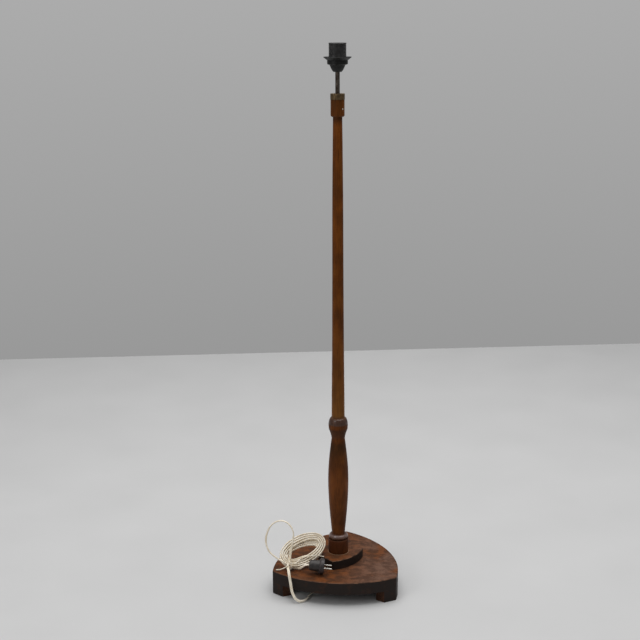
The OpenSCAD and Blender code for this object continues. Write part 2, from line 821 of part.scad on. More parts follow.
// Least gap of the hank to itself: each point against each stretch at least ten points on
function near_share(p, a, b) =
    let (d = [b[0] - a[0], b[1] - a[1]], e = [p[0] - a[0], p[1] - a[1]])
        max(0, min(1, (d * e) / (d * d)));
function stretch_gap(p, a, b) =
    let (
        c = a + (b - a) * near_share(p, a, b),
        flat_gap = norm([p[0] - c[0], p[1] - c[1]]) - cord_t,
        pile_gap = abs(p[2] - c[2]) - cord_w
    )
        norm([max(0, flat_gap), max(0, pile_gap)]);
hank_gap = min([
    for (i = [0:hank_count - 11])
        min([for (j = [i + 10:hank_count - 1]) stretch_gap(hank_path[i], hank_path[j], hank_path[j + 1])])
]);
echo(hank_least_gap = hank_gap);

// Plug: it leans on the base board on its rim, pins to the right and a little down
plug_level = 8;
plug_dip = 8;
plug_rest = plug_r * cos(plug_dip) + (plug_face_t / 2 - 1) * sin(plug_dip);
plug_centre = [-29.5, -86, plinth_z + plug_rest + 0.02];

module at_plug() {
    translate(plug_centre) rotate([0, 90 + plug_dip, plug_level]) children();
}
plug_dir = [cos(plug_level) * cos(plug_dip), sin(plug_level) * cos(plug_dip), -sin(plug_dip)];
plug_side = [-sin(plug_level), cos(plug_level), 0];
plug_entry = plug_centre - (plug_face_t / 2 + grip_l) * plug_dir;

// Last stretch of cord: under the hank's front turns, then up and into the plug
end_route = [
    [-96, -72.5, 61.2], [-89, -73, 61.5], [-82, -77, 64.5], [-75, -83.5, 71.5], [-66.5, -88.7, 79]
];

// String: left tail, once round the hank and both strands of the lead, over itself, right tail.
// The wrap is given about the hank's bundle: [inwards, forwards, along]
tie_inward = 2;
tie_step = hank_step * (1 - hank_squeeze);
tie_long = hank_long - tie_inward * tie_step * hank_flat;
tie_wide = hank_wide - tie_inward * tie_step;
tie_centre = hank_place([tie_long * cos(hank_tie_angle), tie_wide * sin(hank_tie_angle), 0]);
tie_along = unit(-tie_long * sin(hank_tie_angle) * hank_x + tie_wide * cos(hank_tie_angle) * hank_y);
tie_in = cross(hank_n, tie_along);
tie_side = [0.3, 0.5, 0.8];
tie_left = [[-139, -83, 59.4], [-129, -88, 63], [-119, -94, 70], [-110, -98.5, 77]];
tie_wrap = [
    [-9.5, 20.2, -5], [-11.5, 19.3, -1.5], [-14, 15, -0.5], [-14, 9, -0.5], [-13.8, 2, -0.5],
    [-13.3, -4.7, -0.5], [-9.3, -9, -1], [-2, -9, -3], [5, -9.2, -4.5], [10.5, -8.4, -3.5],
    [14, -3.5, -2.7], [16.5, 4, -5.5], [16.5, 12.5, -9.5], [10.5, 18.3, -11], [2, 20.3, -8],
    [-3.5, 21.8, -5.5], [-7.5, 23, -3], [-9, 21.5, 1.5], [-7, 17, 6]
];
tie_right = [
    [-90, -75, 78], [-85, -68, 81.5], [-79, -64, 84.5], [-71, -60, 86.5], [-57, -55, 87.5],
    [-43, -51, 87], [-36, -46, 83], [-30, -42, 80.6]
];

module cord_lead() {
    pts = concat(lead_route, [hank_points[0]]);
    wides = [for (i = [0:len(pts) - 1]) width_at(lead_widths, i)];
    color(cream) placed()
        tube(pts, wides, flat8(cord_w, cord_t), [0, 0, -1], hank_points[1] - hank_points[0]);
}

module cord_hank() {
    wides = [for (p = hank_points) hank_n];
    color(cream) placed() tube(hank_points, wides, flat6(cord_w, cord_t));
}

module cord_end() {
    pts = concat([hank_points[hank_count]], end_route, [plug_entry]);
    wides = [for (i = [0:len(pts) - 1]) let (f = i / (len(pts) - 1)) hank_n * (1 - f) + plug_side * f];
    color(cream) placed()
        tube(pts, wides, flat8(cord_w, cord_t), pts[0] - hank_points[hank_count - 1], plug_dir);
}

module cord_tie() {
    wrap = [for (p = tie_wrap) tie_centre + p[0] * tie_in + p[1] * hank_n + p[2] * tie_along];
    pts = concat(tie_left, wrap, tie_right);
    wides = [for (p = pts) tie_side];
    color(cream) placed() tube(pts, wides, round8(tie_d));
}

module plug_grip() {
    color(plug_grey) placed() at_plug() translate([0, 0, -plug_face_t / 2 - grip_l])
        rotate_extrude($fn = round_fn)
            polygon([
                [0, 0],
                [grip_r * 0.7, 0],
                [grip_r * 0.8, grip_l * 0.06],
                [grip_r * 0.87, grip_l * 0.22],
                [grip_r * 0.93, grip_l * 0.6],
                [grip_r, grip_l],
                [0, grip_l]
            ]);
}

plug_cap_t = 3;

module plug_face() {
    color(plug_dark) placed() at_plug() difference() {
        translate([0, 0, -plug_face_t / 2])
            rotate_extrude($fn = round_fn)
                polygon([
                    [0, 0],
                    [grip_r + 1.5, 0],
                    [plug_r - 1, 1.6],
                    [plug_r, 3],
                    [plug_r, plug_face_t - 1],
                    [plug_r - 1, plug_face_t],
                    [0, plug_face_t]
                ]);
        for (s = [-1, 1])
            translate([0, s * pin_gap / 2, plug_face_t / 2 - pin_seat])
                cylinder(h = pin_seat + 1, r = pin_root_r, $fn = small_fn);
        translate([0, 0, plug_face_t / 2 - pin_seat])
            cylinder(h = pin_seat + 1, r = plug_screw_r, $fn = small_fn);
        translate([0, 0, plug_face_t / 2 - 2]) cylinder(h = 3, r = plug_screw_r * 2 + fit, $fn = small_fn);
    }
}

pin_seat = 7;
pin_root_r = pin_r - 0.4;
pin_tip = 0.8;
plug_screw_r = 1.5;

module plug_pins() {
    color(plated) placed() at_plug() for (s = [-1, 1])
        translate([0, s * pin_gap / 2, plug_face_t / 2]) {
            translate([0, 0, -pin_seat]) cylinder(h = pin_seat, r = pin_root_r, $fn = small_fn);
            cylinder(h = pin_l - pin_tip, r = pin_r, $fn = small_fn);
            translate([0, 0, pin_l - pin_tip])
                cylinder(h = pin_tip, r1 = pin_r, r2 = pin_r - pin_tip, $fn = small_fn);
        }
}

module plug_screw() {
    color(steel) placed() at_plug() difference() {
        union() {
            translate([0, 0, plug_face_t / 2 - pin_seat])
                cylinder(h = pin_seat - 2, r = plug_screw_r, $fn = small_fn);
            translate([0, 0, plug_face_t / 2 - 2]) cylinder(h = 1.5, r = plug_screw_r * 2, $fn = small_fn);
        }
        translate([-plug_screw_r * 2, -0.4, plug_face_t / 2 - 1.2]) cube([plug_screw_r * 4, 0.8, 2]);
    }
}

base_board();
foot(foot_angles[0]);  // foot_left
foot(foot_angles[1]);  // foot_right
foot(foot_angles[2]);  // foot_back
foot_screws();
plinth();
plinth_screws();
baluster();
shaft();
capital();
capital_cap();
capital_nail();
pipe();
holder_cap();
holder_sleeve();
holder_insert();
screw_shell();
centre_contact();
contact_rivet();
terminal_screws();
shade_ring();
cord_bush();
cord_inside();
cord_lead();
cord_hank();
cord_end();
cord_tie();
plug_grip();
plug_face();
plug_pins();
plug_screw();
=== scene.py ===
"""The looks of a turned candlestick floor lamp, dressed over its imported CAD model."""

import math

import bpy
from mathutils import Matrix, Vector


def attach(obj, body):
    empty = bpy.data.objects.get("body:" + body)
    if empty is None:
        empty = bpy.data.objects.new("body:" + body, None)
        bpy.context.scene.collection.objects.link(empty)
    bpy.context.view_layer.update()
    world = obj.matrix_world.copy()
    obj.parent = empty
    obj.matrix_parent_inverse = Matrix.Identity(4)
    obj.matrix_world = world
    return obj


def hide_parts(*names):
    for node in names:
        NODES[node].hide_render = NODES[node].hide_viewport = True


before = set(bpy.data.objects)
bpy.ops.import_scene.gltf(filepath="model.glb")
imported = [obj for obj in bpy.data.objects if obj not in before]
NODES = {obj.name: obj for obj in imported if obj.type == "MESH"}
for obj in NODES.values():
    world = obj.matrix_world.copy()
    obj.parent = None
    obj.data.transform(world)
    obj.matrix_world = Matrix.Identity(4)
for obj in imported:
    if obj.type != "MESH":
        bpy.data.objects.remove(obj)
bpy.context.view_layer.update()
MM = 0.001
COLUMN = Vector((0, -18.25, 0))  # the column's axis in the part's frame, in mm


# ---- camera: its place in metres, turns in degrees, lens and sensor in mm ----

CAMERA_AT = (0.3492, -2.8116, 1.3491)
CAMERA_YAW = 7.973
CAMERA_PITCH = -13.846
CAMERA_ROLL = -0.312
CAMERA_LENS = 70.465
CAMERA_SENSOR = 36


def turn(degrees, axis):
    return Matrix.Rotation(math.radians(degrees), 4, axis)


def make_camera():
    data = bpy.data.cameras.new("camera")
    data.lens = CAMERA_LENS
    data.sensor_width = CAMERA_SENSOR
    camera = bpy.data.objects.new("camera", data)
    bpy.context.collection.objects.link(camera)
    aim = turn(CAMERA_YAW, "Z") @ turn(90 + CAMERA_PITCH, "X") @ turn(CAMERA_ROLL, "Z")
    camera.matrix_world = Matrix.Translation(CAMERA_AT) @ aim
    bpy.context.scene.camera = camera


# ---- routes, in mm about the column's foot, as in the part's source ----

CORD_W = 6.4
CORD_T = 3.2
LEAD_ROUTE = [
    (0, 0, 26), (-1, -1, 17), (-4, -6, 9), (-9, -12, 4), (-15, -20, 2.6), (-34, -46, 2.3),
    (-52, -74, 3), (-57, -88, 4), (-62, -115, 4), (-68, -125, 4), (-77, -131, 6),
    (-86, -132, 13), (-92, -130, 24), (-98, -125, 50), (-101, -121, 63), (-104, -112, 71),
    (-109, -92, 74), (-109, -83, 80), (-107, -75, 89), (-106, -70, 101), (-101, -63, 130),
    (-100, -61, 145), (-105, -59, 159), (-116, -57, 170), (-130, -57, 174), (-144, -58, 170),
    (-156, -60, 159), (-163, -62, 144), (-166, -65, 128), (-163, -69, 111), (-154, -74, 98),
    (-140, -78, 89), (-112, -83, 76), (-103, -79, 70),
]
# Which way the flex's width points, at these points of the lead
LEAD_WIDTHS = {
    0: (0.8, -0.6, 0), 6: (0.8, -0.5, 0), 8: (0.4, 0, 0.9), 10: (0.5, 0.2, 0.8),
    12: (0.9, 0.1, 0.2), 16: (1, 0, 0), 19: (0.9, -0.3, 0), 21: (0.1, -1, 0),
    25: (0.1, -1, 0.2), 28: (0.6, -0.7, 0.3), 31: (0.2, -0.8, 0.6), 34: (0.18, -0.68, 0.71),
}
HANK_CENTRE = Vector((-83, -39, 94.5))
HANK_LEVEL = 15  # degrees from +X to the hank's level line
HANK_LEAN = 45  # degrees from the floor up to its plane
HANK_SPIN = 24  # degrees from the level line to its length
HANK_LONG = 61  # half the length and half the width of its outer turn
HANK_WIDE = 36.5
HANK_STEP = 5.3  # from each turn to the next one in
HANK_SQUEEZE = 0.16  # share of the step that the string takes away where it pulls the turns in
HANK_FLAT = 0.85  # step along the length, as a share of the step across
HANK_TIE_ANGLE = 222  # where the string goes round the turns
HANK_TIE_SPAN = 28  # degrees to each side over which its pull fades
HANK_LAYER = CORD_W + 0.6  # from the front layer to the back one
HANK_START = 235  # angle at which the lead comes in
HANK_HALF_TURNS = 4.035  # turns in front
HANK_TURNS = 7.98  # turns in all
HANK_CLIMB = 0.2  # share of a turn in which the flex goes from the front layer to the back one
HANK_SWING = -6  # degrees that the back layer is turned about the tie
HANK_SHRINK = 0.1  # share by which the back layer is smaller
HANK_RINGS = 24  # points in each turn
END_ROUTE = [
    (-96, -72.5, 61.2), (-89, -73, 61.5), (-82, -77, 64.5), (-75, -83.5, 71.5),
    (-66.5, -88.7, 79),
]
PLUG_LEVEL = 8  # degrees from +X to where the pins point
PLUG_DIP = 8  # and down to the board
PLUG_CENTRE = Vector((-29.5, -86, 76.164))
PLUG_BACK = 29.5  # from the plug's middle back to where the cord enters its grip

TIE_D = 3
TIE_INWARD = 2  # the string's wrap is centred this many steps in from the outer turn
TIE_LEFT = [(-139, -83, 59.4), (-129, -88, 63), (-119, -94, 70), (-110, -98.5, 77)]
# About that centre: inwards, along the hank's axis, and along its turns
TIE_WRAP = [
    (-9.5, 20.2, -5), (-11.5, 19.3, -1.5), (-14, 15, -0.5), (-14, 9, -0.5), (-13.8, 2, -0.5),
    (-13.3, -4.7, -0.5), (-9.3, -9, -1), (-2, -9, -3), (5, -9.2, -4.5), (10.5, -8.4, -3.5),
    (14, -3.5, -2.7), (16.5, 4, -5.5), (16.5, 12.5, -9.5), (10.5, 18.3, -11), (2, 20.3, -8),
    (-3.5, 21.8, -5.5), (-7.5, 23, -3), (-9, 21.5, 1.5), (-7, 17, 6),
]
TIE_RIGHT = [
    (-90, -75, 78), (-85, -68, 81.5), (-79, -64, 84.5), (-71, -60, 86.5), (-57, -55, 87.5),
    (-43, -51, 87), (-36, -46, 83), (-30, -42, 80.6),
]
TIE_SIDE = Vector((0.3, 0.5, 0.8))  # the direction that the string's twist is counted from
TIE_STRANDS = 3
TIE_HOLLOW = 0.34  # least distance from its middle to its surface, in string diameters
TIE_PITCH = 9.0  # for one whole twist

FLEX_STEP = 2.0  # from each ring of the mesh to the next
TIE_STEP = 0.8


def cosd(a):
    return math.cos(math.radians(a))


def sind(a):
    return math.sin(math.radians(a))


def ease(t):
    """0 up to 1 as t goes from 0 to 1, level at both ends."""
    t = min(max(t, 0), 1)
    return t * t * (3 - 2 * t)


LEVEL_DIR = Vector((cosd(HANK_LEVEL), sind(HANK_LEVEL), 0))
LEAN_DIR = Vector(
    (-sind(HANK_LEVEL) * cosd(HANK_LEAN), cosd(HANK_LEVEL) * cosd(HANK_LEAN), sind(HANK_LEAN))
)
HANK_X = LEVEL_DIR * cosd(HANK_SPIN) + LEAN_DIR * sind(HANK_SPIN)
HANK_Y = LEAN_DIR * cosd(HANK_SPIN) - LEVEL_DIR * sind(HANK_SPIN)
HANK_N = LEVEL_DIR.cross(LEAN_DIR)


def hank_place(x, y, z):
    """A place given along the hank's length, width and axis."""
    return HANK_CENTRE + x * HANK_X + y * HANK_Y + z * HANK_N


def hank_point(t):
    """The flex after t turns: wound inwards in the front layer, then out again behind."""
    angle = HANK_START + 360 * t
    inward = HANK_HALF_TURNS - abs(HANK_HALF_TURNS - t)
    off = ((angle - HANK_TIE_ANGLE + 180) % 360 - 180) / HANK_TIE_SPAN
    climbed = ease((t - HANK_HALF_TURNS) / HANK_CLIMB + 0.5)
    behind = ease((t - HANK_HALF_TURNS) / HANK_CLIMB)
    step = HANK_STEP * (1 - HANK_SQUEEZE * math.exp(-off * off) * (1 - behind))
    tied_x = HANK_LONG * cosd(HANK_TIE_ANGLE)
    tied_y = HANK_WIDE * sind(HANK_TIE_ANGLE)
    size = 1 - HANK_SHRINK * behind
    x = size * ((HANK_LONG - inward * step * HANK_FLAT) * cosd(angle) - tied_x)
    y = size * ((HANK_WIDE - inward * step) * sind(angle) - tied_y)
    swing = HANK_SWING * behind
    return hank_place(
        tied_x + x * cosd(swing) - y * sind(swing),
        tied_y + x * sind(swing) + y * cosd(swing),
        HANK_LAYER * (0.5 - climbed),
    )


def width_at(index):
    """The direction of the flex's width at a point of the lead, from the nearest given ones."""
    keys = sorted(LEAD_WIDTHS)
    low = max(k for k in keys if k <= index)
    high = min(k for k in keys if k >= index)
    share = (index - low) / (high - low) if high > low else 0
    return Vector(LEAD_WIDTHS[low]).lerp(Vector(LEAD_WIDTHS[high]), share)


def flex_route():
    """(point, direction of the flex's width) along the whole flex, from the base to the plug."""
    count = round(HANK_TURNS * HANK_RINGS)
    hank = [hank_point(HANK_TURNS * i / count) for i in range(count + 1)]
    route = [(Vector(p), width_at(i)) for i, p in enumerate(LEAD_ROUTE)]
    route += [(p, HANK_N) for p in hank]
    dip = cosd(PLUG_DIP)
    plug_dir = Vector((cosd(PLUG_LEVEL) * dip, sind(PLUG_LEVEL) * dip, -sind(PLUG_DIP)))
    plug_side = Vector((-sind(PLUG_LEVEL), cosd(PLUG_LEVEL), 0))
    tail = [Vector(p) for p in END_ROUTE] + [PLUG_CENTRE - PLUG_BACK * plug_dir]
    for i, p in enumerate(tail):
        route.append((p, HANK_N.lerp(plug_side, (i + 1) / len(tail))))
    return route


def string_route():
    """(point, side) along the whole string: left tail, wrap round hank and lead, right tail."""
    step = HANK_STEP * (1 - HANK_SQUEEZE) * TIE_INWARD
    long = HANK_LONG - step * HANK_FLAT
    wide = HANK_WIDE - step
    centre = hank_place(long * cosd(HANK_TIE_ANGLE), wide * sind(HANK_TIE_ANGLE), 0)
    along = wide * cosd(HANK_TIE_ANGLE) * HANK_Y - long * sind(HANK_TIE_ANGLE) * HANK_X
    along.normalize()
    inwards = HANK_N.cross(along)
    wrap = [centre + p[0] * inwards + p[1] * HANK_N + p[2] * along for p in TIE_WRAP]
    points = [Vector(p) for p in TIE_LEFT] + wrap + [Vector(p) for p in TIE_RIGHT]
    return [(p, TIE_SIDE) for p in points]


def hermite(a, b, slope_a, slope_b, t):
    """The cubic from a to b that has these slopes at its ends."""
    t2 = t * t
    t3 = t2 * t
    return (
        (2 * t3 - 3 * t2 + 1) * a
        + (t3 - 2 * t2 + t) * slope_a
        + (3 * t2 - 2 * t3) * b
        + (t3 - t2) * slope_b
    )


def smooth(route, step):
    """The route again as one smooth curve, with points about a step apart."""
    points = [p for p, _ in route]
    gaps = [(b - a).length for a, b in zip(points, points[1:])]
    slopes = [(points[1] - points[0]) / gaps[0]]
    for i in range(1, len(points) - 1):
        before = (points[i] - points[i - 1]) / gaps[i - 1]
        after = (points[i + 1] - points[i]) / gaps[i]
        slopes.append((before * gaps[i] + after * gaps[i - 1]) / (gaps[i - 1] + gaps[i]))
    slopes.append((points[-1] - points[-2]) / gaps[-1])
    out = []
    for i, gap in enumerate(gaps):
        parts = max(1, round(gap / step))
        for k in range(parts):
            t = k / parts
            p = hermite(points[i], points[i + 1], slopes[i] * gap, slopes[i + 1] * gap, t)
            out.append((p, route[i][1].lerp(route[i + 1][1], t)))
    out.append(route[-1])
    return out


# ---- tubes ----


def twin_section(count=11, web=0.45):
    """Two round wires side by side with a thin web between them: (width, thickness) in mm."""
    r = CORD_T / 2
    middle = (CORD_W - CORD_T) / 2
    open_angle = 180 - math.degrees(math.asin(web / r))
    half = []
    for k in range(count):
        a = open_angle * (2 * k / (count - 1) - 1)
        half.append((middle + r * cosd(a), r * sind(a)))
    return half + [(-x, -y) for x, y in half]


def string_section(turned, count=18):
    """Strands that touch, laid round each other and turned by that many degrees, in mm."""
    share = 360 / TIE_STRANDS
    spread = 1 / sind(share / 2)
    strand = TIE_D / 2 / (1 + spread)
    away = strand * spread
    section = []
    for k in range(count):
        a = 360 * k / count
        lobe = (a + share / 2) % share - share / 2
        reach = away * cosd(lobe) + math.sqrt(max(strand**2 - (away * sind(lobe)) ** 2, 0))
        reach = max(reach, TIE_D * TIE_HOLLOW)
        section.append((reach * cosd(a + turned), reach * sind(a + turned)))
    return section


def tube(name, route, section_at):
    """A closed mesh along the route, and the line down its middle, both in metres.

    section_at gives the points round the tube, in mm, at a distance along it.
    """
    verts = []
    line = []
    travelled = 0
    last = len(route) - 1
    for i, (p, width) in enumerate(route):
        ahead = route[min(i + 1, last)][0] - route[max(i - 1, 0)][0]
        ahead.normalize()
        side = (width - ahead * width.dot(ahead)).normalized()
        up = ahead.cross(side)
        if i:
            travelled += (p - route[i - 1][0]).length
        line.append((p + COLUMN) * MM)
        verts += [(p + COLUMN + s * side + u * up) * MM for s, u in section_at(travelled)]
    n = len(verts) // len(route)
    faces = []
    for i in range(last):
        for k in range(n):
            a = i * n + k
            b = i * n + (k + 1) % n
            faces.append((a, b, b + n, a + n))
    faces.append(tuple(reversed(range(n))))
    faces.append(tuple(range(last * n, last * n + n)))
    mesh = bpy.data.meshes.new(name)
    mesh.from_pydata(verts, [], faces)
    mesh.shade_smooth()
    piece = bpy.data.objects.new(name, mesh)
    bpy.context.collection.objects.link(piece)
    return piece, line


def make_flex():
    section = twin_section()
    flex, line = tube("flex", smooth(flex_route(), FLEX_STEP), lambda at: section)
    flex.data.materials.append(cord_material())
    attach(flex, "lamp")
    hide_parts("cord_lead", "cord_hank", "cord_end")


def make_string():
    route = smooth(string_route(), TIE_STEP)
    string, line = tube("string_tie", route, lambda at: string_section(360 * at / TIE_PITCH))
    string.data.materials.append(string_material())
    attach(string, "lamp")
    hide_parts("cord_tie")


# ---- materials ----


def tone(red, green, blue):
    """A colour as it looks on a screen, 0 to 255, as the linear RGBA that Blender wants."""
    out = []
    for value in (red, green, blue):
        v = value / 255
        out.append(v / 12.92 if v <= 0.04045 else ((v + 0.055) / 1.055) ** 2.4)
    return (*out, 1)


# The sockets of a Mix node that carry colours
MIX_A = 6
MIX_B = 7
MIX_RESULT = 2


class Finish:
    """A Principled material, built by small calls that each give back a socket."""

    def __init__(self, name, **fixed):
        self.material = bpy.data.materials.new(name)
        self.material.use_nodes = True
        self.tree = self.material.node_tree
        self.shader = self.tree.nodes["Principled BSDF"]
        self.coordinates = self.tree.nodes.new("ShaderNodeTexCoord")
        for socket, value in fixed.items():
            self.shader.inputs[socket.replace("_", " ")].default_value = value

    def put(self, value, socket):
        if isinstance(value, bpy.types.NodeSocket):
            self.tree.links.new(value, socket)
        else:
            socket.default_value = value

    def place(self, stretch=(1, 1, 1)):
        """Places on the object, in mm, drawn together along each axis by stretch."""
        node = self.tree.nodes.new("ShaderNodeVectorMath")
        node.operation = "MULTIPLY"
        self.put(self.coordinates.outputs["Object"], node.inputs[0])
        self.put([s / MM for s in stretch], node.inputs[1])
        return node.outputs[0]

    def noise(self, size, stretch=(1, 1, 1), detail=3, roughness=0.5, distortion=0):
        """Soft blotches about size mm across, from 0 to 1."""
        node = self.tree.nodes.new("ShaderNodeTexNoise")
        self.put(self.place(stretch), node.inputs["Vector"])
        for socket, value in (
            ("Scale", 1 / size), ("Detail", detail), ("Roughness", roughness),
            ("Distortion", distortion),
        ):
            node.inputs[socket].default_value = value
        return node.outputs["Fac"]

    def cells(self, size, stretch=(1, 1, 1)):
        """Distance from scattered points about size mm apart."""
        node = self.tree.nodes.new("ShaderNodeTexVoronoi")
        self.put(self.place(stretch), node.inputs["Vector"])
        node.inputs["Scale"].default_value = 1 / size
        return node.outputs["Distance"]

    def axis(self, index, source="Object"):
        """One coordinate of the place, in metres, or of the surface's normal."""
        node = self.tree.nodes.new("ShaderNodeSeparateXYZ")
        self.put(self.coordinates.outputs[source], node.inputs[0])
        return node.outputs[index]

    def radius(self):
        """Distance from the column's axis, in mm."""
        away = self.tree.nodes.new("ShaderNodeVectorMath")
        away.operation = "DISTANCE"
        self.put(self.place((1, 1, 0)), away.inputs[0])
        self.put(COLUMN, away.inputs[1])
        return away.outputs["Value"]

    def level(self, value, low, high, out_low=0.0, out_high=1.0):
        """value, eased from out_low at low to out_high at high."""
        node = self.tree.nodes.new("ShaderNodeMapRange")
        node.interpolation_type = "SMOOTHSTEP"
        for socket, v in zip(node.inputs, (value, low, high, out_low, out_high)):
            self.put(v, socket)
        return node.outputs[0]

    def math(self, operation, a, b=0.0):
        node = self.tree.nodes.new("ShaderNodeMath")
        node.operation = operation
        self.put(a, node.inputs[0])
        self.put(b, node.inputs[1])
        return node.outputs[0]

    def mix(self, share, a, b):
        node = self.tree.nodes.new("ShaderNodeMix")
        node.data_type = "RGBA"
        self.put(share, node.inputs["Factor"])
        self.put(a, node.inputs[MIX_A])
        self.put(b, node.inputs[MIX_B])
        return node.outputs[MIX_RESULT]

    def ramp(self, value, stops):
        node = self.tree.nodes.new("ShaderNodeValToRGB")
        self.put(value, node.inputs[0])
        elements = node.color_ramp.elements
        while len(elements) < len(stops):
            elements.new(0.5)
        for element, (at, colour) in zip(elements, stops):
            element.position = at
            element.color = colour
        return node.outputs[0]

    def bump(self, height, depth, normal=None):
        """A relief depth mm deep where height goes from 0 to 1."""
        node = self.tree.nodes.new("ShaderNodeBump")
        node.inputs["Distance"].default_value = depth * MM
        self.put(height, node.inputs["Height"])
        if normal is not None:
            self.put(normal, node.inputs["Normal"])
        return node.outputs[0]

    def done(self, **sockets):
        for socket, value in sockets.items():
            self.put(value, self.shader.inputs[socket.replace("_", " ")])
        return self.material


COLUMN_TOP = 1282
# Heights up the column, in mm above the floor, and the stain's colour at each
COLUMN_TONES = [
    (79, (82, 42, 20)), (111, (84, 42, 22)), (113, (88, 58, 44)), (124, (88, 58, 44)),
    (128, (92, 50, 22)), (200, (98, 54, 22)), (262, (112, 62, 26)), (300, (94, 51, 20)),
    (352, (60, 37, 16)), (366, (92, 48, 17)), (374, (76, 44, 24)), (391, (72, 42, 22)),
    (394, (102, 54, 21)), (401, (98, 52, 20)), (405, (74, 50, 40)), (419, (74, 50, 40)),
    (422, (118, 76, 32)), (520, (112, 66, 24)), (640, (104, 56, 16)), (760, (98, 52, 14)),
    (880, (112, 60, 16)), (980, (104, 56, 15)), (1100, (116, 62, 18)), (1118, (72, 38, 14)),
    (1123, (104, 56, 16)), (1160, (92, 50, 15)),
]
# Where the bead and the knob's dome, which are more polished, begin and end; the bead's band also
# carries its painted highlight
BEAD_FROM = (116, 119)
BEAD_TO = (127, 124)
KNOB_FROM = (402, 405)
KNOB_TO = (421, 419)
GRAIN = (1, 1, 0.035)  # the grain runs up the column
BOARD_GRAIN = (0.06, 1, 1)  # and from side to side across the base
GREYER_RIGHT = (-0.02, 0.12)  # metres to the right between which the board's top turns greyer
PALE_RING = (26.8, 24.8)  # radii between which the board turns pale round the column's drum


def turned_wood():
    """Stained column: its stain in bands, blotched, streaked and flecked, and a painted highlight
    on the bead's upper side.
    """
    dark_blotch = tone(56, 32, 13)
    light_blotch = tone(116, 68, 24)
    dark_streak = tone(44, 25, 11)
    open_pore = tone(28, 16, 8)
    pale_fleck = tone(150, 106, 56)
    # Painted highlight: a pale grey-brown laid on the bead's upward-facing side
    bead_highlight_tone = tone(140, 122, 120)
    f = Finish("turned_wood", Specular_IOR_Level=0.08, Coat_Roughness=0.2)
    height_mm = f.math("DIVIDE", f.axis(2), MM)
    height = f.math("DIVIDE", height_mm, COLUMN_TOP)
    stain = f.ramp(height, [(z / COLUMN_TOP, tone(*colour)) for z, colour in COLUMN_TONES])
    blotch = f.noise(26, (1, 1, 0.5), 4)
    streak = f.noise(1.6, GRAIN, 6, 0.62, 0.3)
    pore = f.level(f.noise(0.5, (1, 1, 0.05), 2), 0.62, 0.72)
    fleck = f.level(f.cells(7), 0.075, 0.03)
    colour = f.mix(f.level(blotch, 0.42, 0.66, 0, 0.4), stain, dark_blotch)
    colour = f.mix(f.level(blotch, 0.52, 0.3, 0, 0.45), colour, light_blotch)
    colour = f.mix(f.level(streak, 0.48, 0.64, 0, 0.5), colour, dark_streak)
    colour = f.mix(f.math("MULTIPLY", pore, 0.4), colour, open_pore)
    colour = f.mix(f.math("MULTIPLY", fleck, 0.5), colour, pale_fleck)
    bead = f.math("MULTIPLY", f.level(height_mm, *BEAD_FROM), f.level(height_mm, *BEAD_TO))
    knob = f.math("MULTIPLY", f.level(height_mm, *KNOB_FROM), f.level(height_mm, *KNOB_TO))
    polish = f.math("ADD", bead, f.math("MULTIPLY", knob, 0.6))
    # Painted highlight on the bead: its upward-facing faces are lightened towards grey, in patches
    lying = f.level(f.axis(2, "Normal"), 0, 0.7, 0, 0.55)
    painted_bead_highlight = f.math("MULTIPLY", f.math("MULTIPLY", bead, lying), f.level(blotch, 0.3, 0.6, 0.5, 1))
    relief = f.math("ADD", streak, f.math("MULTIPLY", pore, -0.6))
    return f.done(
        Base_Color=f.mix(painted_bead_highlight, colour, bead_highlight_tone),
        Coat_Weight=polish,
        Roughness=f.level(blotch, 0.3, 0.7, 0.38, 0.52),
        Normal=f.bump(relief, 0.08),
    )


def board_wood():
    """Worn stained boards: mottled brown on top, near black round the sides, and a painted
    highlight on the bevelled edges.
    """
    red_brown = (tone(114, 64, 30), tone(78, 48, 29))
    grey_brown = (tone(112, 82, 66), tone(86, 60, 47))
    black_brown = (tone(40, 33, 30), tone(54, 40, 33))
    # Painted highlight tones for the bevelled edges
    edge_highlight_tones = (tone(112, 80, 60), tone(60, 44, 35))
    dark_streak = tone(60, 38, 26)
    pale_grit = tone(146, 110, 84)
    dark_grit = tone(50, 32, 24)
    dark_patch = tone(48, 32, 25)
    pale_ring = tone(160, 128, 100)
    f = Finish("worn_board", Specular_IOR_Level=0.12)
    up = f.axis(2, "Normal")
    broad = f.noise(70, (1, 1.4, 1), 3)
    blotch = f.noise(18, (0.8, 1, 1), 5, 0.6, 0.4)
    streak = f.noise(1.8, BOARD_GRAIN, 5, 0.6, 0.2)
    grit = f.noise(1.2, (0.7, 1, 1), 3, 0.7)
    rightwards = f.level(f.axis(0), *GREYER_RIGHT)
    top = f.mix(f.level(blotch, 0.36, 0.62), *red_brown)
    greyer = f.mix(f.level(blotch, 0.38, 0.62), *grey_brown)
    top = f.mix(f.math("MULTIPLY", rightwards, f.level(broad, 0.35, 0.55)), top, greyer)
    top = f.mix(f.level(streak, 0.5, 0.66, 0, 0.45), top, dark_streak)
    top = f.mix(f.level(grit, 0.58, 0.74, 0, 0.55), top, pale_grit)
    top = f.mix(f.level(grit, 0.42, 0.3, 0, 0.5), top, dark_grit)
    patch = f.noise(34, (1, 1.2, 1), 4, 0.6, 0.6)
    top = f.mix(f.level(patch, 0.54, 0.68, 0, 0.5), top, dark_patch)
    top = f.mix(f.level(f.radius(), *PALE_RING, 0, 0.6), top, pale_ring)
    side = f.mix(f.level(blotch, 0.5, 0.72), *black_brown)
    # Painted highlight: the bevelled edges between the sides and the top are lighter brown
    edge_highlight = f.mix(f.level(blotch, 0.4, 0.6), *edge_highlight_tones)
    colour = f.mix(f.level(up, 0.1, 0.45), side, edge_highlight)
    colour = f.mix(f.level(up, 0.8, 0.97), colour, top)
    relief = f.math("ADD", f.math("MULTIPLY", streak, 0.6), f.math("MULTIPLY", grit, 0.5))
    return f.done(
        Base_Color=colour,
        Roughness=f.level(blotch, 0.3, 0.7, 0.5, 0.66),
        Normal=f.bump(relief, 0.15),
    )


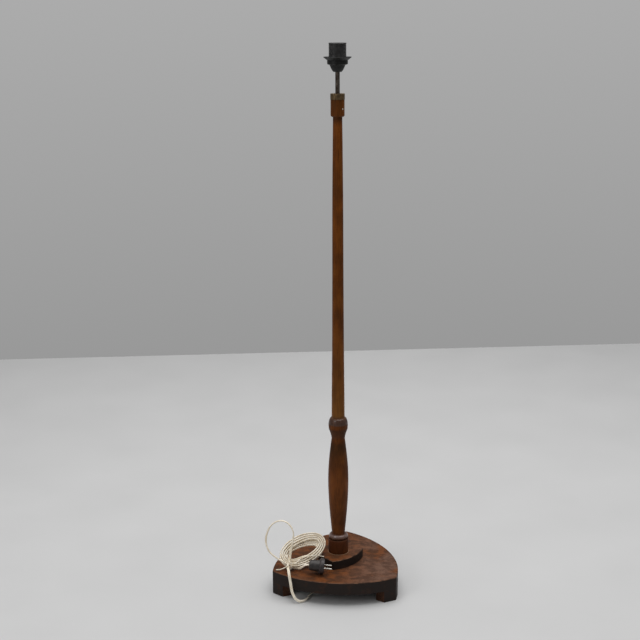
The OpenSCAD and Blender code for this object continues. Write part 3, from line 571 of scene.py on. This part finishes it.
def foot_wood():
    """Blocks under the board: near black on the outer faces, red-brown with wear on the sawn ones.
    """
    black_brown = (tone(40, 33, 30), tone(62, 42, 32))
    red_brown = (tone(70, 43, 28), tone(46, 30, 21))
    f = Finish("worn_foot", Specular_IOR_Level=0.12)
    outward = f.tree.nodes.new("ShaderNodeVectorMath")
    outward.operation = "NORMALIZE"
    f.put(f.place((1, 1, 0)), outward.inputs[0])
    facing = f.tree.nodes.new("ShaderNodeVectorMath")
    facing.operation = "DOT_PRODUCT"
    f.put(outward.outputs[0], facing.inputs[0])
    f.put(f.coordinates.outputs["Normal"], facing.inputs[1])
    blotch = f.noise(14, (1, 1, 0.7), 4, 0.6)
    streak = f.noise(1.8, BOARD_GRAIN, 4, 0.6)
    dark = f.mix(f.level(blotch, 0.5, 0.66), *black_brown)
    sawn = f.mix(f.level(streak, 0.44, 0.62), *red_brown)
    colour = f.mix(f.level(facing.outputs["Value"], 0.55, 0.8), sawn, dark)
    return f.done(
        Base_Color=colour,
        Roughness=f.level(blotch, 0.3, 0.7, 0.5, 0.66),
        Normal=f.bump(streak, 0.12),
    )


def moulded(name, colour, dust, roughness, specular, grain, depth):
    """Old moulded plastic: slightly uneven gloss, fine scratches and dust on what faces up."""
    f = Finish(name, Specular_IOR_Level=specular)
    cloud = f.noise(9, detail=4)
    scratch = f.noise(0.7, (1, 1, 0.12), 3, 0.6)
    lying = f.level(f.axis(2, "Normal"), 0.35, 1, 0, 0.5)
    body = f.mix(f.level(cloud, 0.35, 0.7, 0, 0.5), tone(*colour), tone(*dust))
    body = f.mix(f.math("MULTIPLY", lying, cloud), body, tone(*dust))
    return f.done(
        Base_Color=body,
        Roughness=f.level(cloud, 0.3, 0.7, roughness, roughness + 0.14),
        Normal=f.bump(f.math("ADD", scratch, f.noise(grain, detail=2)), depth),
    )


def metal(name, bright, dull, roughness, patch, share):
    """Metal with a skin of oxide: bright where rubbed, dull and rougher in patches."""
    f = Finish(name, Metallic=1)
    cloud = f.noise(patch, (1, 1, 0.6), 5, 0.62)
    fine = f.noise(0.6, (1, 1, 0.1), 3)
    spread = 0.62 - 0.24 * share
    tarnish = f.level(cloud, spread - 0.1, spread + 0.1)
    colour = f.mix(tarnish, tone(*bright), tone(*dull))
    return f.done(
        Base_Color=f.mix(f.level(fine, 0.4, 0.65, 0, 0.3), colour, tone(*dull)),
        Roughness=f.level(tarnish, 0, 1, roughness, roughness + 0.25),
        Normal=f.bump(fine, 0.015),
    )


def glazed():
    """The holder's pale insulating block under its glaze."""
    cream = tone(226, 220, 204)
    stained = tone(186, 176, 154)
    f = Finish("pale_insert", Coat_Weight=0.3, Coat_Roughness=0.12)
    cloud = f.noise(5, detail=4)
    return f.done(
        Base_Color=f.mix(f.level(cloud, 0.4, 0.7), cream, stained),
        Roughness=f.level(cloud, 0.3, 0.7, 0.25, 0.4),
        Normal=f.bump(cloud, 0.03),
    )


def cord_material():
    """Old cream plastic flex, a little yellowed and soiled."""
    cream = tone(252, 243, 226)
    yellowed = tone(234, 221, 198)
    soiled = tone(158, 138, 110)
    f = Finish("cream_cord", Specular_IOR_Level=0.4)
    cloud = f.noise(22, detail=3)
    soil = f.noise(3, detail=4, roughness=0.6)
    colour = f.mix(f.level(cloud, 0.35, 0.65), cream, yellowed)
    colour = f.mix(f.level(soil, 0.54, 0.72, 0, 0.5), colour, soiled)
    return f.done(
        Base_Color=colour,
        Roughness=f.level(soil, 0.3, 0.7, 0.42, 0.55),
        Normal=f.bump(soil, 0.03),
    )


def string_material():
    """Matt cream string, soiled in patches, with painted shade between its fibres."""
    cream = tone(250, 242, 226)
    soiled = tone(232, 219, 196)
    # Painted shade: the tone laid where the fibres part
    between = tone(160, 144, 116)
    f = Finish("cream_string", Specular_IOR_Level=0.2, Sheen_Weight=0.25)
    fibre = f.noise(0.35, (1, 1, 1), 4, 0.7)
    soil = f.noise(9, detail=3)
    colour = f.mix(f.level(soil, 0.4, 0.65), cream, soiled)
    # Painted shade between the fibres
    colour = f.mix(f.level(fibre, 0.52, 0.7, 0, 0.4), colour, between)
    return f.done(
        Base_Color=colour,
        Roughness=f.level(fibre, 0.3, 0.7, 0.75, 0.9),
        Normal=f.bump(fibre, 0.12),
    )


# Name, bright and dull tones, roughness, mm across a patch of tarnish, share tarnished, nodes
METALS = [
    ("old_brass", (120, 100, 72), (86, 72, 54), 0.42, 6, 0.5, ["capital_cap"]),
    ("dark_steel", (104, 96, 88), (62, 52, 46), 0.38, 6, 0.5, ["pipe"]),
    ("steel", (170, 164, 154), (110, 100, 90), 0.3, 6, 0.5, ["foot_screws", "plinth_screws"]),
    ("nail_steel", (214, 208, 196), (168, 156, 138), 0.3, 2, 0.3, ["capital_nail"]),
    (
        "brass", (206, 172, 104), (150, 118, 66), 0.26, 6, 0.5,
        ["screw_shell", "centre_contact", "contact_rivet", "terminal_screws"],
    ),
    ("pin_plating", (204, 202, 194), (150, 146, 138), 0.26, 3, 0.4, ["plug_pins"]),
    ("screw_plating", (200, 196, 188), (150, 144, 136), 0.25, 3, 0.5, ["plug_screw"]),
]
# Name, body and dust tones, roughness, specular level, mm across the grain and its depth, nodes
PLASTICS = [
    ("black_cap", (9, 9, 9), (18, 18, 18), 0.36, 0.3, 0.9, 0.02, ["holder_cap"]),
    ("black_ring", (9, 9, 9), (24, 24, 24), 0.36, 0.3, 0.9, 0.02, ["shade_ring"]),
    # The sleeve is the same black plastic as the cap: its greyer body tone is a painted sheen
    ("black_sleeve", (34, 33, 33), (62, 61, 60), 0.36, 0.5, 0.9, 0.02, ["holder_sleeve"]),
    ("black_bush", (40, 38, 37), (70, 66, 62), 0.36, 0.5, 0.9, 0.02, ["cord_bush"]),
    ("core_plastic", (206, 196, 172), (176, 162, 136), 0.36, 0.5, 0.9, 0.02, ["cord_inside"]),
    ("grip_plastic", (28, 25, 23), (72, 67, 63), 0.42, 0.5, 1.4, 0.05, ["plug_grip"]),
    ("face_plastic", (34, 29, 29), (84, 75, 75), 0.4, 0.5, 1.4, 0.05, ["plug_face"]),
]


def dress(material, names):
    for name in names:
        NODES[name].data.materials.clear()
        NODES[name].data.materials.append(material)


def dress_nodes():
    dress(board_wood(), ["base_board", "plinth"])
    dress(foot_wood(), ["foot_left", "foot_right", "foot_back"])
    dress(turned_wood(), ["baluster", "shaft", "capital"])
    dress(glazed(), ["holder_insert"])
    for *look, names in METALS:
        dress(metal(*look), names)
    for *look, names in PLASTICS:
        dress(moulded(*look), names)


# ---- floor, wall and light ----

FLOOR_TURN = 12.26  # the far edge of the floor, seen in the photograph, runs this way
FLOOR_FAR = (-0.336, 2.076)
FLOOR_SIZE = 14
FLOOR_TONES = (tone(200, 200, 200), tone(207, 207, 207))
# The wall's tone at a low and a high line of sight, and each line's rise over its length
WALL_LOW = tone(152, 152, 152)
WALL_HIGH = tone(172, 172, 172)
WALL_LOW_RISE = -0.27
WALL_HIGH_RISE = 0.02
AMBIENT = 0.27
# Name, place, what it is turned towards, size in metres, watts
LAMPS = [
    ("ceiling", (0.2, 0.3, 3.4), (0, 0, 0.4), 3.4, 106),
    ("front_left", (-2.2, -2.6, 2.2), (0, 0, 0.6), 1.6, 22),
]


def make_floor():
    mesh = bpy.data.meshes.new("floor")
    half = FLOOR_SIZE / 2
    corners = [(-half, -FLOOR_SIZE, 0), (half, -FLOOR_SIZE, 0), (half, 0, 0), (-half, 0, 0)]
    mesh.from_pydata(corners, [], [(0, 1, 2, 3)])
    floor = bpy.data.objects.new("floor", mesh)
    floor.matrix_world = Matrix.Translation((*FLOOR_FAR, 0)) @ turn(FLOOR_TURN, "Z")
    bpy.context.collection.objects.link(floor)
    f = Finish("floor", Specular_IOR_Level=0.2)
    cloud = f.noise(240, detail=4)
    floor.data.materials.append(
        f.done(
            Base_Color=f.mix(cloud, *FLOOR_TONES),
            Roughness=f.level(cloud, 0.3, 0.7, 0.6, 0.75),
        )
    )


def make_world():
    """Soft light from all round, and a plain grey wall where the camera looks past the floor."""
    world = bpy.data.worlds.new("studio")
    world.use_nodes = True
    bpy.context.scene.world = world
    nodes = world.node_tree.nodes
    link = world.node_tree.links.new
    light = nodes["Background"]
    light.inputs["Color"].default_value = (1, 1, 1, 1)
    light.inputs["Strength"].default_value = AMBIENT
    wall = nodes.new("ShaderNodeBackground")
    direction = nodes.new("ShaderNodeTexCoord")
    split = nodes.new("ShaderNodeSeparateXYZ")
    rise = nodes.new("ShaderNodeMapRange")
    rise.inputs["From Min"].default_value = WALL_LOW_RISE
    rise.inputs["From Max"].default_value = WALL_HIGH_RISE
    shade = nodes.new("ShaderNodeMix")
    shade.data_type = "RGBA"
    shade.inputs[MIX_A].default_value = WALL_LOW
    shade.inputs[MIX_B].default_value = WALL_HIGH
    link(direction.outputs["Generated"], split.inputs[0])
    link(split.outputs["Z"], rise.inputs[0])
    link(rise.outputs[0], shade.inputs[0])
    link(shade.outputs[MIX_RESULT], wall.inputs["Color"])
    path = nodes.new("ShaderNodeLightPath")
    seen = nodes.new("ShaderNodeMath")
    seen.operation = "ADD"
    seen.use_clamp = True
    link(path.outputs["Is Camera Ray"], seen.inputs[0])
    link(path.outputs["Is Transmission Ray"], seen.inputs[1])
    both = nodes.new("ShaderNodeMixShader")
    link(seen.outputs[0], both.inputs[0])
    link(light.outputs[0], both.inputs[1])
    link(wall.outputs[0], both.inputs[2])
    link(both.outputs[0], nodes["World Output"].inputs["Surface"])


def make_lamps():
    for name, place, target, size, watts in LAMPS:
        data = bpy.data.lights.new(name, "AREA")
        data.energy = watts
        data.size = size
        lamp = bpy.data.objects.new(name, data)
        aim = (Vector(target) - Vector(place)).to_track_quat("-Z", "Y").to_matrix().to_4x4()
        lamp.matrix_world = Matrix.Translation(place) @ aim
        bpy.context.collection.objects.link(lamp)


make_camera()
make_flex()
make_string()
dress_nodes()
make_floor()
make_world()
make_lamps()
bpy.context.scene.view_settings.view_transform = "Standard"
